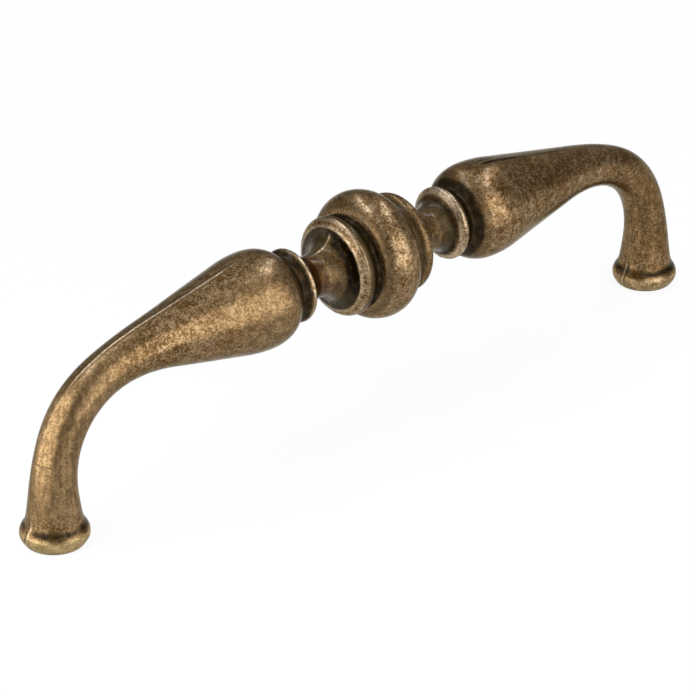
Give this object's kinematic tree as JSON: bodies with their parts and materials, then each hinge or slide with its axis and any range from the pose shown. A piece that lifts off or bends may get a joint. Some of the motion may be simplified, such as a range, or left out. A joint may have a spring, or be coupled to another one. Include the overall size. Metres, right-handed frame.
{
  "type": "bar pull",
  "caption": "Cast bar pull: a turned bead and cups at the centre, pear-shaped arms that bend down into round feet, and a blind tapped fixing hole in each foot.",
  "frame": {"origin": "on the mounting face, midway between the two fixing holes", "axes": "+X along the bar, +Z away from the mounting face, +Y across the bar"},
  "size_m": [0.1388, 0.0208, 0.0369],
  "materials": {
    "antique_brass": "antique brass, mottled and worn bright on the edges, dark in the grooves"
  },
  "bodies": {
    "root": {"pull_casting": "antique_brass"}
  },
  "joints": []
}
